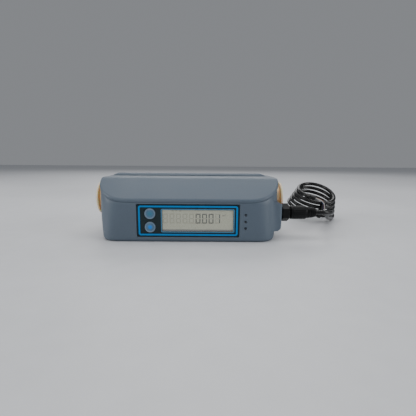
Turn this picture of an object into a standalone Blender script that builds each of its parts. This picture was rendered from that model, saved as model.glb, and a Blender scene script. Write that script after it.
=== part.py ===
"""Inline ultrasonic volume meter with an LCD, two keys and a plugged-in M12 sensor cable.

Lengths in this file are millimetres and MM turns them into Blender's metres. X runs along the
flow tube, Y runs from the display at the front to the rear, Z is up. The origin is the middle of
the base. Every named object is one separate physical piece.
"""
from math import cos, pi, radians, sin, sqrt

import bmesh
import bpy
from mathutils import Matrix, Vector

MM = 0.001
COLLECTION_NAME = "inline_volume_meter"
MERGE = 0.00001

# Housing
WIDTH = 189.0
DEPTH = 92.0
WALL = 3.0
FRONT_RADIUS = 18.0
FRONT_RADIUS_TOP = 41.0
COVER_FRONT_RADIUS = 34.0
REAR_RADIUS = 8.0
BASE_RADIUS = 3.4
TUB_TOP = 66.0
DRAFT = 0.066
COVER_TOP_Z = 62.0
SLOPE_FRONT_Z = 42.7
SLOPE_BACK_Y = -11.0
LIP = 3.4
GAP = 0.3

HALF_W = WIDTH / 2
FRONT_Y = -DEPTH / 2
REAR_Y = DEPTH / 2
SLOPE = (COVER_TOP_Z - SLOPE_FRONT_Z) / (SLOPE_BACK_Y - FRONT_Y)

# Rear service cover
REAR_COVER_X = (-92.5, 88.0)
REAR_COVER_Y = (21.0, 40.0)
REAR_COVER_RISE = 2.4
REAR_COVER_BEVEL = (5.0, 2.4)
HATCH_X = (-60.4, 60.4)
HATCH_Y = (24.0, 37.0)

# Display stack, seen from the front
RECESS_X = (-50.4, 51.2)
RECESS_Z = (5.0, 38.0)
RECESS_DEPTH = 1.6
WINDOW_CENTRE = (9.95, 21.5)
WINDOW_SIZE = (70.6, 21.9)
KEY_X = -37.1
KEY_Z = {"upper": 28.4, "lower": 14.9}
KEY_RADIUS = 5.25
LENS_X = 57.0
LENS_Z = (27.5, 20.7, 14.1)
BOARD_X = (-52.0, 59.3)
BOARD_Z = (5.0, 40.0)
BOARD_Y = (-34.9, -33.3)
BOARD_SCREWS = ((-48.5, 8.2), (-48.5, 36.0), (57.0, 8.2), (57.0, 36.0))

# Flow tube
TUBE_Y = 6.0
TUBE_Z = 38.1
TUBE_HALF = 97.2
TUBE_RADIUS = 13.5
END_RADIUS = 15.0
BORE_RADIUS = 10.0
PORT_RADIUS = 12.1
PORT_DEPTH = 14.0
TRANSDUCER_X = 35.0
CLAMP_X = 62.0
CAP_RADIUS = 18.25
CAP_THICKNESS = 4.2

# Sensor connector
PLUG_Y = -24.0
PLUG_Z = 27.0
BOSS_FACE_X = 95.2
PLUG_END_X = 133.0

# Cable, end to end. The coil is an egg-shaped ring on a slant. Its turns spread out on the right,
# and the lower ones reach further to the left.
CABLE_RADIUS = 2.35
LEAD_ROUTE = (
    (133.3, -24.0, 27.0), (137.5, -24.0, 27.0), (144.0, -22.9, 26.8), (149.8, -19.6, 26.2),
    (154.0, -14.6, 25.2), (156.8, -8.0, 23.9), (159.4, 2.5, 21.2), (162.2, 13.6, 18.0),
    (165.8, 24.9, 14.4), (170.4, 36.3, 10.8), (176.4, 47.8, 7.2), (178.6, 51.4, 6.3),
)
COIL_CENTRE = (167.2, 80.5, 26.6)
COIL_AXIS = (0.12, -0.34, 0.90)
COIL_RADIUS = 26.5
COIL_SPAN = 27.6
COIL_TAPER = 0.42
COIL_EGG = 0.08
COIL_FAN = 1.38
COIL_BAND = (3.1, 14.9)
TIE_ANGLE = -85.0
LEADS_ROUTE = ((160.8, 47.3, 31.2), (164.6, 44.6, 28.6), (167.6, 43.2, 24.4), (168.9, 43.0, 18.5))

# Screws
COVER_POSTS = ((-67.0, -34.0), (67.0, -34.0), (-79.0, 36.5), (79.0, 36.5))
POST_Z = 10.0

COLOURS = {
    "housing": ((0.105, 0.142, 0.172), 0.45, 0.0),
    "overlay": ((0.011, 0.019, 0.022), 0.25, 0.0),
    "clear": ((0.55, 0.56, 0.47), 0.08, 0.0),
    "lcd": ((0.34, 0.34, 0.28), 0.2, 0.0),
    "key": ((0.12, 0.22, 0.32), 0.4, 0.0),
    "brass": ((0.62, 0.43, 0.17), 0.28, 1.0),
    "ivory": ((0.66, 0.56, 0.43), 0.45, 0.0),
    "black": ((0.012, 0.012, 0.013), 0.5, 0.0),
    "rubber": ((0.02, 0.02, 0.021), 0.75, 0.0),
    "board": ((0.02, 0.12, 0.05), 0.5, 0.0),
    "steel": ((0.55, 0.56, 0.58), 0.3, 1.0),
    "battery": ((0.10, 0.24, 0.12), 0.35, 0.0),
    "lead": ((0.35, 0.03, 0.02), 0.5, 0.0),
}

parts = bpy.data.collections.new(COLLECTION_NAME)
tools = bpy.data.collections.new("cutters")


# ---------------------------------------------------------------- helpers

def vec(x, y, z):
    """A point given in millimetres."""
    return Vector((x, y, z)) * MM


def clear_scene():
    for old in list(bpy.data.objects):
        bpy.data.objects.remove(old, do_unlink=True)
    bpy.context.scene.collection.children.link(parts)
    bpy.context.scene.collection.children.link(tools)


def material(name, key):
    colour, roughness, metallic = COLOURS[key]
    mat = bpy.data.materials.new(name + "_material")
    mat.use_nodes = True
    shader = mat.node_tree.nodes["Principled BSDF"]
    shader.inputs["Base Color"].default_value = (*colour, 1.0)
    shader.inputs["Roughness"].default_value = roughness
    shader.inputs["Metallic"].default_value = metallic
    mat.diffuse_color = (*colour, 1.0)
    return mat


def finish_object(name, mesh, key, location=(0, 0, 0), rotation=None, smooth=None):
    """Make the object, as a named part when it has a colour key and as a cutter otherwise."""
    obj = bpy.data.objects.new(name, mesh)
    obj.location = vec(*location)
    if rotation is not None:
        obj.rotation_euler = rotation.to_euler()
    if smooth is not None:
        mesh.shade_smooth()
        mesh.set_sharp_from_angle(angle=radians(smooth))
    if key is None:
        obj.hide_render = True
        obj.display_type = "WIRE"
        tools.objects.link(obj)
    else:
        obj.data.materials.append(material(name, key))
        parts.objects.link(obj)
    return obj


def mesh_from(bm, name):
    mesh = bpy.data.meshes.new(name)
    bmesh.ops.recalc_face_normals(bm, faces=bm.faces)
    bm.to_mesh(mesh)
    bm.free()
    return mesh


def block(name, xs, ys, zs, key=None, bevel=0.0):
    """A box between two X, two Y and two Z values, with its edges bevelled if asked."""
    low, high = vec(xs[0], ys[0], zs[0]), vec(xs[1], ys[1], zs[1])
    bm = bmesh.new()
    bmesh.ops.create_cube(bm, size=1.0)
    bmesh.ops.scale(bm, vec=high - low, verts=bm.verts)
    obj = finish_object(name, mesh_from(bm, name), key)
    obj.location = (low + high) / 2
    if bevel:
        edge = obj.modifiers.new("edges", "BEVEL")
        edge.width = bevel * MM
        edge.segments = 2
        edge.limit_method = "ANGLE"
    return obj


AXIS_TURN = {
    "Z": Matrix.Identity(3),
    "X": Matrix.Rotation(pi / 2, 3, "Y"),
    "-X": Matrix.Rotation(-pi / 2, 3, "Y"),
    "Y": Matrix.Rotation(-pi / 2, 3, "X"),
    "-Y": Matrix.Rotation(pi / 2, 3, "X"),
}


def turned(name, profile, axis, location, key=None, steps=32, closed=False, twist=0.0):
    """Turn a profile of (radius, height) points about an axis, given from the top down.

    A twist in degrees keeps the facets of two coaxial pieces from lining up."""
    bm = bmesh.new()
    verts = [bm.verts.new(vec(radius, 0, height)) for radius, height in profile]
    for first, second in zip(verts, verts[1:]):
        bm.edges.new((first, second))
    if closed:
        bm.edges.new((verts[-1], verts[0]))
    mesh = bpy.data.meshes.new(name)
    bm.to_mesh(mesh)
    bm.free()
    turn = AXIS_TURN[axis] @ Matrix.Rotation(radians(twist), 3, "Z")
    obj = finish_object(name, mesh, key, location, turn)
    screw = obj.modifiers.new("turn", "SCREW")
    screw.axis = "Z"
    screw.steps = steps
    screw.render_steps = steps
    screw.use_merge_vertices = True
    screw.merge_threshold = MERGE
    screw.use_smooth_shade = True
    return obj


def rod(name, radius, length, axis, location, key=None, steps=32, twist=0.0):
    """A plain cylinder centred on its location."""
    half = length / 2
    profile = [(0, half), (radius, half), (radius, -half), (0, -half)]
    return turned(name, profile, axis, location, key, steps, twist=twist)


def ring(name, inner, outer, length, axis, location, key=None, steps=32):
    """A plain ring with a square section."""
    half = length / 2
    profile = [(inner, half), (outer, half), (outer, -half), (inner, -half)]
    return turned(name, profile, axis, location, key, steps, closed=True)


def boolean(target, other, operation="DIFFERENCE"):
    cut = target.modifiers.new(operation.lower() + "_" + other.name, "BOOLEAN")
    cut.operation = operation
    cut.solver = "EXACT"
    cut.object = other


def outline_prism(name, outlines, length, key=None):
    """Closed outlines of (Y, Z) points, the later ones holes, extruded along X and made a mesh."""
    curve = bpy.data.curves.new(name + "_outline", "CURVE")
    curve.dimensions = "2D"
    curve.fill_mode = "BOTH"
    curve.extrude = length / 2 * MM
    for outline in outlines:
        spline = curve.splines.new("POLY")
        spline.points.add(len(outline) - 1)
        for point, (across, up) in zip(spline.points, outline):
            point.co = (across * MM, up * MM, 0.0, 1.0)
        spline.use_cyclic_u = True
    guide = bpy.data.objects.new(name + "_outline", curve)
    guide.matrix_world = Matrix(((0, 0, 1, 0), (1, 0, 0, 0), (0, 1, 0, 0), (0, 0, 0, 1)))
    return curve_to_mesh(name, guide, key)


def curve_to_mesh(name, guide, key):
    """Turn a filled curve into one closed mesh object and drop the curve."""
    tools.objects.link(guide)
    placed = guide.matrix_world.copy()
    graph = bpy.context.evaluated_depsgraph_get()
    mesh = bpy.data.meshes.new_from_object(guide.evaluated_get(graph))
    bpy.data.objects.remove(guide, do_unlink=True)
    bm = bmesh.new()
    bm.from_mesh(mesh)
    bmesh.ops.remove_doubles(bm, verts=bm.verts, dist=MERGE)
    bmesh.ops.recalc_face_normals(bm, faces=bm.faces)
    bm.to_mesh(mesh)
    bm.free()
    mesh.materials.clear()
    obj = finish_object(name, mesh, key)
    obj.matrix_world = placed
    return obj


def smooth_route(points, spacing):
    """Points along a Catmull-Rom curve through the given ones, about evenly spaced."""
    route = [Vector(p) for p in points]
    padded = [route[0] * 2 - route[1], *route, route[-1] * 2 - route[-2]]
    fine = [route[0]]
    for before, start, end, after in zip(padded, padded[1:], padded[2:], padded[3:]):
        steps = max(2, round((end - start).length / spacing))
        for step in range(1, steps + 1):
            t = step / steps
            fine.append(0.5 * (2 * start + (end - before) * t
                               + (2 * before - 5 * start + 4 * end - after) * t ** 2
                               + (3 * start - before - 3 * end + after) * t ** 3))
    return fine


def wire(name, points, radius, key, spacing, sides_resolution=2):
    """A round wire or cable along a smooth route."""
    curve = bpy.data.curves.new(name, "CURVE")
    curve.dimensions = "3D"
    curve.bevel_depth = radius * MM
    curve.bevel_resolution = sides_resolution
    curve.use_fill_caps = True
    spline = curve.splines.new("POLY")
    route = smooth_route(points, spacing)
    spline.points.add(len(route) - 1)
    for point, place in zip(spline.points, route):
        point.co = (*(place * MM), 1.0)
    obj = bpy.data.objects.new(name, curve)
    curve.materials.append(material(name, key))
    parts.objects.link(obj)
    return obj


def rounded_block(name, inset, front_radius, zs, key=None, base_radius=0.0, shaping=None):
    """The housing's plan outline as a block: round front corners and tighter rear ones. A shaping
    function may change its mesh."""
    half_w, half_d = HALF_W - inset, DEPTH / 2 - inset
    bm = bmesh.new()
    bmesh.ops.create_cube(bm, size=1.0)
    size = vec(2 * half_w, 2 * half_d, zs[1] - zs[0])
    bmesh.ops.scale(bm, vec=size, verts=bm.verts)
    bmesh.ops.translate(bm, vec=vec(0, 0, (zs[0] + zs[1]) / 2), verts=bm.verts)
    for side, radius, segments in ((-1, front_radius - inset, 8), (1, REAR_RADIUS - inset, 3)):
        corner = [e for e in bm.edges
                  if abs(e.verts[0].co.z - e.verts[1].co.z) > MM
                  and all(v.co.y * side > 0.99 * half_d * MM for v in e.verts)
                  and all(abs(v.co.x) > 0.99 * half_w * MM for v in e.verts)]
        bmesh.ops.bevel(bm, geom=corner, offset=radius * MM, segments=segments, profile=0.5,
                        affect="EDGES")
    if base_radius:
        rim = [e for e in bm.edges if all(v.co.z < (zs[0] + 0.01) * MM for v in e.verts)]
        bmesh.ops.bevel(bm, geom=rim, offset=base_radius * MM, segments=3, profile=0.5,
                        affect="EDGES")
    if shaping:
        shaping(bm)
    return finish_object(name, mesh_from(bm, name), key, smooth=35)


def shape_tub(bm):
    """Open the tub's top, narrow it towards the base on a soft curve, and let its front corners
    widen upward."""
    top = [f for f in bm.faces if all(v.co.z > (TUB_TOP - 0.01) * MM for v in f.verts)]
    bmesh.ops.delete(bm, geom=top, context="FACES")
    for height in (11, 20, 30, 42):
        every = list(bm.verts) + list(bm.edges) + list(bm.faces)
        bmesh.ops.bisect_plane(bm, geom=every, plane_co=vec(0, 0, height), plane_no=(0, 0, 1))
    for vert in bm.verts:
        widen_corner(vert)
        below = 1 - vert.co.z / (TUB_TOP * MM)
        vert.co.x *= 1 - DRAFT * below ** 2
    bmesh.ops.triangulate(bm, faces=bm.faces)


def widen_corner(vert):
    """Move a vertex of a front corner so that the corner's radius grows evenly up to the top."""
    side = 1 if vert.co.x > 0 else -1
    centre = Vector((side * (HALF_W - FRONT_RADIUS), FRONT_RADIUS + FRONT_Y)) * MM
    spoke = vert.co.xy - centre
    if spoke.x * side < -MERGE or spoke.y > MERGE or spoke.length < MERGE:
        return
    growth = (FRONT_RADIUS_TOP - FRONT_RADIUS) * vert.co.z / TUB_TOP
    moved = centre + Vector((-side, 1)) * growth + spoke.normalized() * (spoke.length + growth)
    vert.co.x, vert.co.y = moved


def slope_z(y):
    """Height of the sloping front of the cover at a depth."""
    return min(COVER_TOP_Z, SLOPE_FRONT_Z + (y - FRONT_Y) * SLOPE)


def above_slope(name, lowered):
    """Everything above the cover's sloping and flat top, lowered by some height."""
    front, back = FRONT_Y - 10, REAR_Y + 10
    start = SLOPE_FRONT_Z - 10 * SLOPE - lowered
    outline = [(front, start), (SLOPE_BACK_Y, COVER_TOP_Z - lowered), (back, COVER_TOP_Z - lowered),
               (back, 100), (front, 100)]
    return outline_prism(name, [outline], WIDTH + 30)


def below_slope(name, lowered):
    """Everything below that same surface."""
    front, back = FRONT_Y - 10, REAR_Y + 10
    start = SLOPE_FRONT_Z - 10 * SLOPE - lowered
    outline = [(front, -20), (back, -20), (back, COVER_TOP_Z - lowered),
               (SLOPE_BACK_Y, COVER_TOP_Z - lowered), (front, start)]
    return outline_prism(name, [outline], WIDTH + 30)


# ---------------------------------------------------------------- housing

def make_lower_housing():
    tub = rounded_block("lower_housing", 0, FRONT_RADIUS, (0, TUB_TOP), "housing", BASE_RADIUS, shape_tub)
    shell = tub.modifiers.new("wall", "SOLIDIFY")
    shell.thickness = WALL * MM
    shell.offset = -1.0
    shell.use_even_offset = True
    boolean(tub, above_slope("tub_rim_cutter", LIP))
    add_connector_boss(tub)
    recess = block("recess_cutter", RECESS_X, (FRONT_Y - 2, FRONT_Y + RECESS_DEPTH), RECESS_Z)
    boolean(tub, recess)
    half_w, half_h = WINDOW_SIZE[0] / 2 - GAP, WINDOW_SIZE[1] / 2 - GAP
    opening = block("display_opening_cutter", (WINDOW_CENTRE[0] - half_w, WINDOW_CENTRE[0] + half_w),
                    (FRONT_Y - 2, FRONT_Y + 8), (WINDOW_CENTRE[1] - half_h, WINDOW_CENTRE[1] + half_h))
    boolean(tub, opening)
    for side, height in KEY_Z.items():
        boolean(tub, rod("key_hole_" + side, KEY_RADIUS + GAP, 12, "Y", (KEY_X, FRONT_Y, height)))
    for number, height in enumerate(LENS_Z, 1):
        boolean(tub, rod(f"lens_hole_{number}", 1.3, 12, "Y", (LENS_X, FRONT_Y, height), steps=12))
    boolean(tub, rod("tube_hole_cutter", 17.3, WIDTH + 20, "X", (0, TUBE_Y, TUBE_Z)))
    add_board_posts(tub)
    add_screw_sockets(tub)
    return tub


def add_connector_boss(tub):
    """The block on the front right corner that carries the sensor connector."""
    outline = [(80, 9.5), (91.5, 9.5), (94.2, 12), (BOSS_FACE_X, 18), (BOSS_FACE_X, 36.8),
               (84, 42.4), (80, 42.4)]
    depth = 24.0
    boss = outline_prism("connector_boss", [outline], depth)
    # The outline's first axis becomes X and its length runs along Y.
    boss.matrix_world = Matrix(((1, 0, 0, 0), (0, 0, -1, PLUG_Y * MM), (0, 1, 0, 0), (0, 0, 0, 1)))
    boolean(tub, boss, "UNION")
    inside = block("boss_hollow", (70, 92.2), (PLUG_Y - 9, PLUG_Y + 9), (18, 36))
    boolean(tub, inside)
    boolean(tub, rod("connector_hole", 6.4, 20, "X", (BOSS_FACE_X, PLUG_Y, PLUG_Z), steps=24))


def add_board_posts(tub):
    front, back = FRONT_Y + RECESS_DEPTH + 0.6, BOARD_Y[0] - GAP
    for number, (x, z) in enumerate(BOARD_SCREWS, 1):
        middle = (x, (front + back) / 2, z)
        boolean(tub, rod(f"board_post_{number}", 2.6, back - front, "Y", middle, steps=16), "UNION")
        boolean(tub, rod(f"board_post_hole_{number}", 1.4, 7.6, "Y", (x, back - 3.3, z), steps=12))


def add_screw_sockets(tub):
    """Floor bosses that take the four screws holding the cover."""
    top = POST_Z - GAP
    for number, (x, y) in enumerate(COVER_POSTS, 1):
        boss = rod(f"socket_{number}", 6.3, top - 1.1, "Z", (x, y, (top + 1.1) / 2), steps=18)
        boolean(tub, boss, "UNION")
    for number, (x, y) in enumerate(COVER_POSTS, 1):
        bore = [(0, 20), (1.9, 20), (1.9, 4.9), (3.6, 4.9), (3.6, -5), (0, -5)]
        boolean(tub, turned(f"socket_bore_{number}", bore, "Z", (x, y, 0), steps=14))


def make_top_cover():
    cover = rounded_block("top_cover", 0, COVER_FRONT_RADIUS, (20, COVER_TOP_Z), "housing")
    boolean(cover, above_slope("cover_slope_cutter", 0))
    core = rounded_block("cover_core", WALL, COVER_FRONT_RADIUS, (10, COVER_TOP_Z - WALL))
    boolean(core, above_slope("core_slope_cutter", WALL + 0.4))
    boolean(cover, core)
    boolean(cover, below_slope("cover_rim_cutter", LIP - GAP))
    for number, (x, y) in enumerate(COVER_POSTS, 1):
        top = slope_z(y - 4) - 1.2
        post = rod(f"cover_post_{number}", 4.0, top - POST_Z, "Z", (x, y, (top + POST_Z) / 2), steps=20)
        boolean(cover, post, "UNION")
        boolean(cover, rod(f"cover_post_hole_{number}", 1.8, 28, "Z", (x, y, POST_Z), steps=12))
    boolean(cover, block("hatch_cutter", HATCH_X, HATCH_Y, (COVER_TOP_Z - 10, COVER_TOP_Z + 5)))
    boolean(cover, gasket_ring("gasket_groove", 0.6, 2.4, GAP - 1.0, GAP + 1.5))
    return cover


def gasket_ring(name, outside, inside, low, high, key=None):
    """A band that follows the joint between the two housing halves, inside the wall's width."""
    band = rounded_block(name, outside, COVER_FRONT_RADIUS, (10, COVER_TOP_Z + 2), key)
    boolean(band, rounded_block(name + "_core", inside, COVER_FRONT_RADIUS, (0, COVER_TOP_Z + 12)))
    boolean(band, above_slope(name + "_top_cutter", LIP - high))
    boolean(band, below_slope(name + "_bottom_cutter", LIP - low))
    return band


def make_rear_cover():
    """The raised service cover, with bevelled ends and a rim that snaps into the hatch."""
    low, high = COVER_TOP_Z + GAP, COVER_TOP_Z + GAP + REAR_COVER_RISE
    cover = block("rear_cover", REAR_COVER_X, REAR_COVER_Y, (low, high), "housing")
    for vert in cover.data.vertices:
        if vert.co.z > 0:
            vert.co.x -= REAR_COVER_BEVEL[0] * MM * (1 if vert.co.x > 0 else -1)
            vert.co.y -= REAR_COVER_BEVEL[1] * MM * (1 if vert.co.y > 0 else -1)
    rim = block("hatch_rim", (HATCH_X[0] + 0.4, HATCH_X[1] - 0.4), (HATCH_Y[0] + 0.4, HATCH_Y[1] - 0.4),
                (COVER_TOP_Z - 3.4, low + 1))
    boolean(cover, rim, "UNION")
    return cover


# ---------------------------------------------------------------- display and keys

def make_display():
    front, back = FRONT_Y + RECESS_DEPTH - 1.1, FRONT_Y + RECESS_DEPTH - GAP
    overlay = block("display_overlay", (RECESS_X[0] + GAP, RECESS_X[1] - GAP), (front, back),
                    (RECESS_Z[0] + GAP, RECESS_Z[1] - GAP), "overlay")
    half_w, half_h = WINDOW_SIZE[0] / 2, WINDOW_SIZE[1] / 2
    x, z = WINDOW_CENTRE
    opening = block("overlay_window_cutter", (x - half_w - GAP, x + half_w + GAP), (front - 2, back + 2),
                    (z - half_h - GAP, z + half_h + GAP))
    boolean(overlay, opening)
    for side, height in KEY_Z.items():
        hole = rod("overlay_key_hole_" + side, KEY_RADIUS + GAP, 6, "Y", (KEY_X, front, height))
        boolean(overlay, hole)
    block("display_window", (x - half_w, x + half_w), (front, back), (z - half_h, z + half_h), "clear", 0.15)
    glass = ((x - 38, x + 38), (FRONT_Y + 3.4, FRONT_Y + 5.2), (z - 13.5, z + 13.5))
    block("lcd_panel", *glass, "lcd")
    holder = block("lcd_holder", (x - 39.8, x + 39.8), (FRONT_Y + 3.4, BOARD_Y[0] - GAP),
                   (z - 15.2, z + 15.2), "black")
    boolean(holder, block("holder_pocket", (x - 38.4, x + 38.4), (FRONT_Y, glass[1][1] + GAP),
                          (z - 13.9, z + 13.9)))
    boolean(holder, block("holder_light_box", (x - 35, x + 35), (FRONT_Y, BOARD_Y[1]), (z - 10.5, z + 10.5)))


def make_board():
    board = block("main_board", BOARD_X, BOARD_Y, BOARD_Z, "board")
    for number, (x, z) in enumerate(BOARD_SCREWS, 1):
        boolean(board, rod(f"board_hole_{number}", 1.5, 6, "Y", (x, BOARD_Y[0], z), steps=12))
        head, tip = BOARD_Y[1] + GAP, -42.0
        profile = [(0, 1.7), (2.5, 1.7), (2.5, 0), (1.1, 0), (1.1, tip - head), (0, tip - head)]
        turned(f"board_screw_{number}", profile, "Y", (x, head, z), "steel", 8)
    block("processor_chip", (0, 12), (BOARD_Y[1] + GAP, BOARD_Y[1] + 1.9), (14, 26), "black", 0.2)


def make_keys():
    """Each key is pushed along +Y onto its switch and comes back by itself."""
    profile = [(0, 0), (4.9, 0), (KEY_RADIUS, -0.35), (KEY_RADIUS, -3.2), (6.4, -3.2), (6.4, -4.2),
               (1.5, -4.2), (1.5, -6.8), (0, -6.8)]
    for side, height in KEY_Z.items():
        turned("key_" + side, profile, "-Y", (KEY_X, FRONT_Y + 0.2, height), "key", 28)
        base = block("tact_switch_" + side, (KEY_X - 3, KEY_X + 3), (-37.6, BOARD_Y[0] - GAP),
                     (height - 3, height + 3), "black")
        plunger = rod("switch_plunger_" + side, 1.7, 1.2, "Y", (KEY_X, -37.7, height), steps=16)
        boolean(base, plunger, "UNION")


def make_lenses():
    profile = [(0, 0), (0.8, 0), (1.0, -0.2), (1.0, -3.4), (2.0, -3.4), (2.0, -4.4), (0, -4.4)]
    for number, height in enumerate(LENS_Z, 1):
        turned(f"status_lens_{number}", profile, "-Y", (LENS_X, FRONT_Y + 0.1, height), "black", 12)


# ---------------------------------------------------------------- flow tube

def make_flow_tube():
    half, step = TUBE_HALF, TUBE_HALF - 12.2
    profile = [(0, half), (END_RADIUS - 0.6, half), (END_RADIUS, half - 0.6), (END_RADIUS, step),
               (TUBE_RADIUS, step - 1.5), (TUBE_RADIUS, -step + 1.5), (END_RADIUS, -step),
               (END_RADIUS, -half + 0.6), (END_RADIUS - 0.6, -half), (0, -half)]
    tube = turned("flow_tube", profile, "X", (0, TUBE_Y, TUBE_Z), "brass", 36)
    for side in (-1, 1):
        name = "left" if side < 0 else "right"
        seat = (side * TRANSDUCER_X, TUBE_Y - 9.5, TUBE_Z)
        boolean(tube, rod("transducer_seat_" + name, 10.5, 19, "Y", seat, steps=28), "UNION")
    bore = turned("flow_bore", [(0, half + 1), (PORT_RADIUS, half + 1), (PORT_RADIUS, half - PORT_DEPTH),
                                (BORE_RADIUS, half - PORT_DEPTH - 2), (BORE_RADIUS, -half + PORT_DEPTH + 2),
                                (PORT_RADIUS, -half + PORT_DEPTH), (PORT_RADIUS, -half - 1), (0, -half - 1)],
                  "X", (0, TUBE_Y, TUBE_Z), steps=32, twist=3)
    boolean(tube, bore)
    for side in (-1, 1):
        name = "left" if side < 0 else "right"
        pocket = (side * TRANSDUCER_X, TUBE_Y - 11, TUBE_Z)
        boolean(tube, rod("transducer_bore_" + name, 7.4, 20, "Y", pocket, steps=24, twist=4))


def make_transducers():
    face = TUBE_Y - 10.2
    profile = [(0, 0), (7.1, 0), (7.1, -9.2), (9.5, -9.2), (9.5, -12), (6, -12), (6, -16.4), (0, -16.4)]
    end = face - 16.4 - GAP
    for side in (-1, 1):
        name = "left" if side < 0 else "right"
        x = side * TRANSDUCER_X
        turned("transducer_" + name, profile, "Y", (x, face, TUBE_Z), "black", 28)
        route = [(x, end, TUBE_Z), (x - side * 0.6, end - 2.5, TUBE_Z - 0.5), (x - side * 4, end - 5.5, 34),
                 (x - side * 6, BOARD_Y[1] + 3, 31.6), (x - side * 6.2, BOARD_Y[1] + 0.5, 31.4)]
        wire("transducer_lead_" + name, route, 1.0, "lead", 2.5)


def make_tube_mounts():
    """A saddle below and a clamp above the tube at each end, with two screws each."""
    spread = 16.5
    number = 0
    for side in (-1, 1):
        name = "left" if side < 0 else "right"
        x = side * CLAMP_X
        xs, ys = (x - 5, x + 5), (TUBE_Y - 20, TUBE_Y + 20)
        saddle = block("tube_saddle_" + name, xs, ys, (WALL + GAP, TUBE_Z - 0.2), "black")
        clamp = block("tube_clamp_" + name, xs, ys, (TUBE_Z + 0.2, TUBE_Z + 16), "black", 1.0)
        seat = rod("tube_seat_" + name, TUBE_RADIUS + GAP, 20, "X", (x, TUBE_Y, TUBE_Z), steps=36)
        boolean(saddle, seat)
        boolean(clamp, seat)
        for y in (TUBE_Y - spread, TUBE_Y + spread):
            number += 1
            hole = rod(f"clamp_screw_hole_{number}", 1.8, 40, "Z", (x, y, TUBE_Z + 3), steps=12)
            boolean(saddle, hole)
            boolean(clamp, hole)
            profile = [(0, 2.2), (2.7, 2.2), (2.7, 0), (1.5, 0), (1.5, -30), (0, -30)]
            turned(f"clamp_screw_{number}", profile, "Z", (x, y, TUBE_Z + 16 + GAP), "steel", 8)


def make_ports():
    """Rubber seals where the tube leaves the housing, and the push-in caps on both ends."""
    cap = [(0, CAP_THICKNESS), (CAP_RADIUS - 1.0, CAP_THICKNESS), (CAP_RADIUS - 0.3, CAP_THICKNESS - 0.3),
           (CAP_RADIUS, CAP_THICKNESS - 1.0), (CAP_RADIUS, 0.3), (CAP_RADIUS - 0.3, 0),
           (PORT_RADIUS - GAP, 0), (PORT_RADIUS - GAP - 0.2, -9), (10.3, -9), (10.3, 1.2), (0, 1.2)]
    for side, axis in ((-1, "-X"), (1, "X")):
        name = "left" if side < 0 else "right"
        ring("port_seal_" + name, END_RADIUS + GAP, 17.0, 3.6, "X", (side * 92.1, TUBE_Y, TUBE_Z), "rubber")
        turned("port_cap_" + name, cap, axis, (side * (TUBE_HALF + GAP), TUBE_Y, TUBE_Z), "ivory", 36)


# ---------------------------------------------------------------- battery

def make_battery():
    y, z, radius = 29.0, 14.0, 9.25
    cell = [(0, 26.2), (3, 26.2), (3, 25), (8.9, 25), (radius, 24.6), (radius, -24.6), (8.9, -25), (0, -25)]
    turned("battery_cell", cell, "X", (0, y, z), "battery", 28)
    holder = block("battery_holder", (-28, 28), (y - 10.6, y + 10.6), (WALL + GAP, 12), "black")
    boolean(holder, rod("battery_bed", radius + GAP, 52, "X", (0.5, y, z), steps=28))
    route = [(26.6, y, z + 0.6), (30, y - 0.5, z + 0.5), (36, y - 4, z - 2), (40, 20, 8), (42, 5, 6),
             (42, -14, 7), (41, -25, 10.5), (40.4, BOARD_Y[1] + 3, 13.4), (40.4, BOARD_Y[1] + 0.5, 13.6)]
    wire("battery_lead", route, 1.1, "lead", 3.5)


# ---------------------------------------------------------------- sensor connector and cable

def hex_nut(name, across_flats, length, hole, location, key):
    half, corner = length / 2, across_flats / sqrt(3)
    profile = [(0, half), (corner, half), (corner, -half), (0, -half)]
    nut = turned(name, profile, "X", location, key, 6, twist=30)
    nut.modifiers["turn"].use_smooth_shade = False
    boolean(nut, rod(name + "_thread", hole, length + 4, "X", location, steps=24))
    return nut


def make_connector():
    line = (0, PLUG_Y, PLUG_Z)
    shell = [(0, 84.5), (5.8, 84.5), (5.8, 89.7), (7.6, 89.7), (7.6, 91.9), (6.0, 91.9), (6.0, 112.2),
             (4.7, 112.2), (4.7, 104.6), (0, 104.6)]
    turned("panel_connector", shell[::-1], "X", line, "black", 28)
    ring("connector_seal", 6.3, 7.9, 0.6, "X", (BOSS_FACE_X + 0.6, PLUG_Y, PLUG_Z), "rubber", 28)
    hex_nut("connector_nut", 16.5, 7.6, 6.3, (100.2, PLUG_Y, PLUG_Z), "black")
    body = [(0, 104.9), (4.3, 104.9), (4.3, 112.6), (5.9, 112.6), (5.9, 114.2), (4.6, 114.2),
            (4.6, 123.4), (6.1, 123.4), (6.1, 129.8), (5.2, 130.4), (4.8, PLUG_END_X - 0.6),
            (4.0, PLUG_END_X), (0, PLUG_END_X)]
    turned("plug_body", body[::-1], "X", line, "black", 28)
    centre = 114.6
    grip = [(6.35, 106.2), (6.9, 106.2), (7.1, 106.6), (7.1, 122.6), (6.9, 123.0), (4.95, 123.0),
            (4.95, centre), (6.35, centre)]
    local = [(radius, x - centre) for radius, x in grip]
    turned("coupling_nut", local[::-1], "X", (centre, PLUG_Y, PLUG_Z), "black", 32, closed=True)
    route = [(84.2, PLUG_Y, PLUG_Z), (78, PLUG_Y - 0.3, PLUG_Z - 0.2), (68, PLUG_Y - 0.5, 24.5),
             (59, -26, 22.3), (53, BOARD_Y[1] + 4, 20.6), (51.8, BOARD_Y[1] + 0.5, 20.2)]
    wire("connector_lead", route, 1.6, "black", 3.5)


def coil_frame():
    """The coil's own directions: towards its right side, towards its far side, and its axis."""
    axis = Vector(COIL_AXIS).normalized()
    right = (Vector((1, 0, 0)) - axis * axis.x).normalized()
    return right, axis.cross(right), axis


def fan(cosine):
    """How much further apart the turns are towards the right than on the left."""
    return 1 + (COIL_FAN - 1) * (1 + cosine) / 2


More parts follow.
